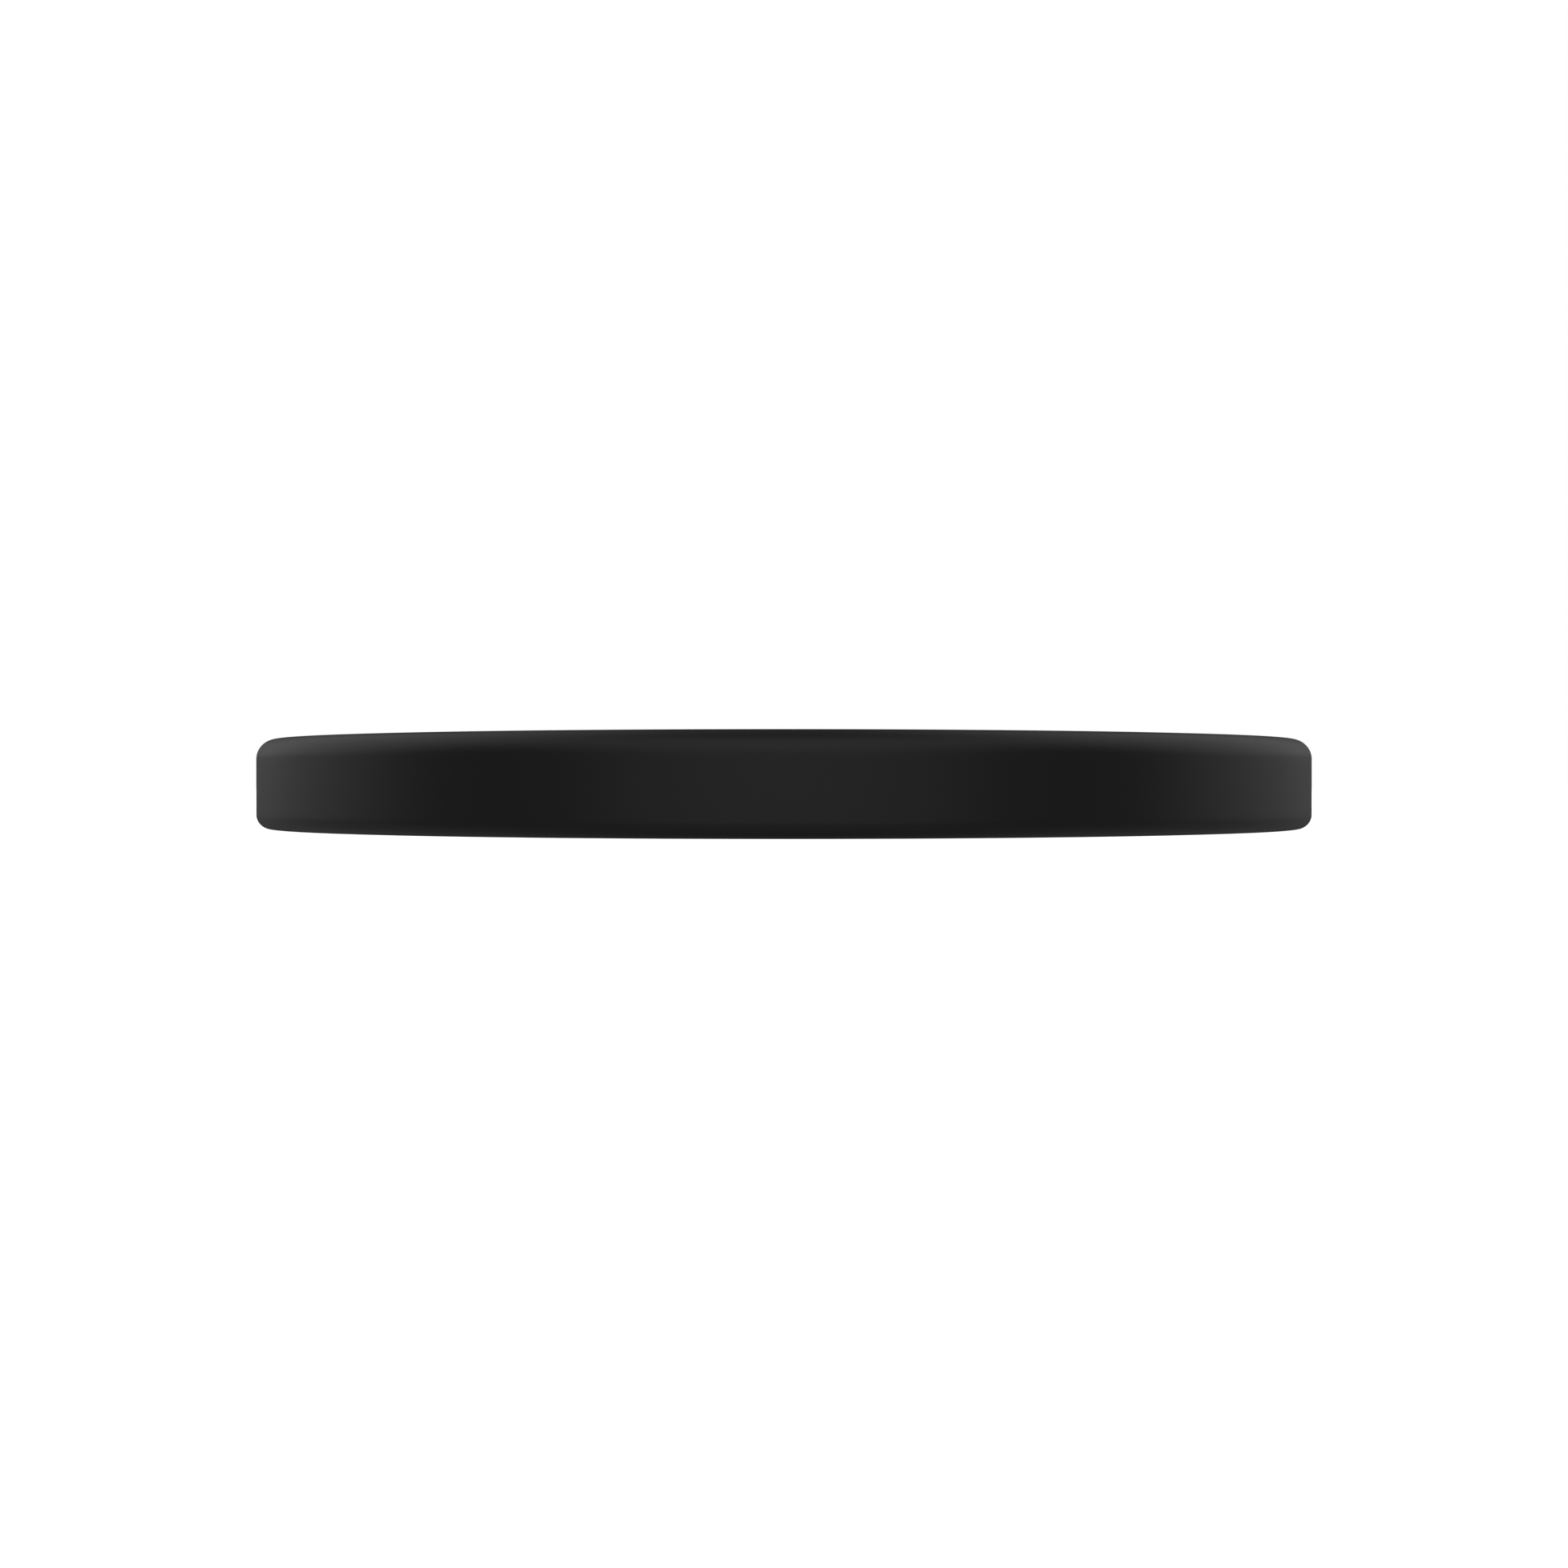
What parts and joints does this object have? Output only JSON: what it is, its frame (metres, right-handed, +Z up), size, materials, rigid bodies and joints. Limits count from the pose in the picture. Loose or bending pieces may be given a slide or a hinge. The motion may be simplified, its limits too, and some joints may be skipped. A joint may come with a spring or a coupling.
{
  "type": "hockey puck",
  "caption": "Thin round hockey puck: one solid moulded rubber disc with a smooth straight side wall, a softer upper edge, a tighter lower edge and flat faces to slide on.",
  "frame": {"origin": "centre of the underside, the flat face that the puck lies and slides on", "axes": "+Z up along the axis of the disc, from the underside to the upper face; X and Y are equivalent, because the disc is round"},
  "size_m": [0.0762, 0.0762, 0.0063],
  "materials": {
    "moulded_rubber": "satin black, smooth moulded side wall, fine matt grain on the two faces"
  },
  "bodies": {
    "root": {"puck_body": "moulded_rubber"}
  },
  "joints": []
}
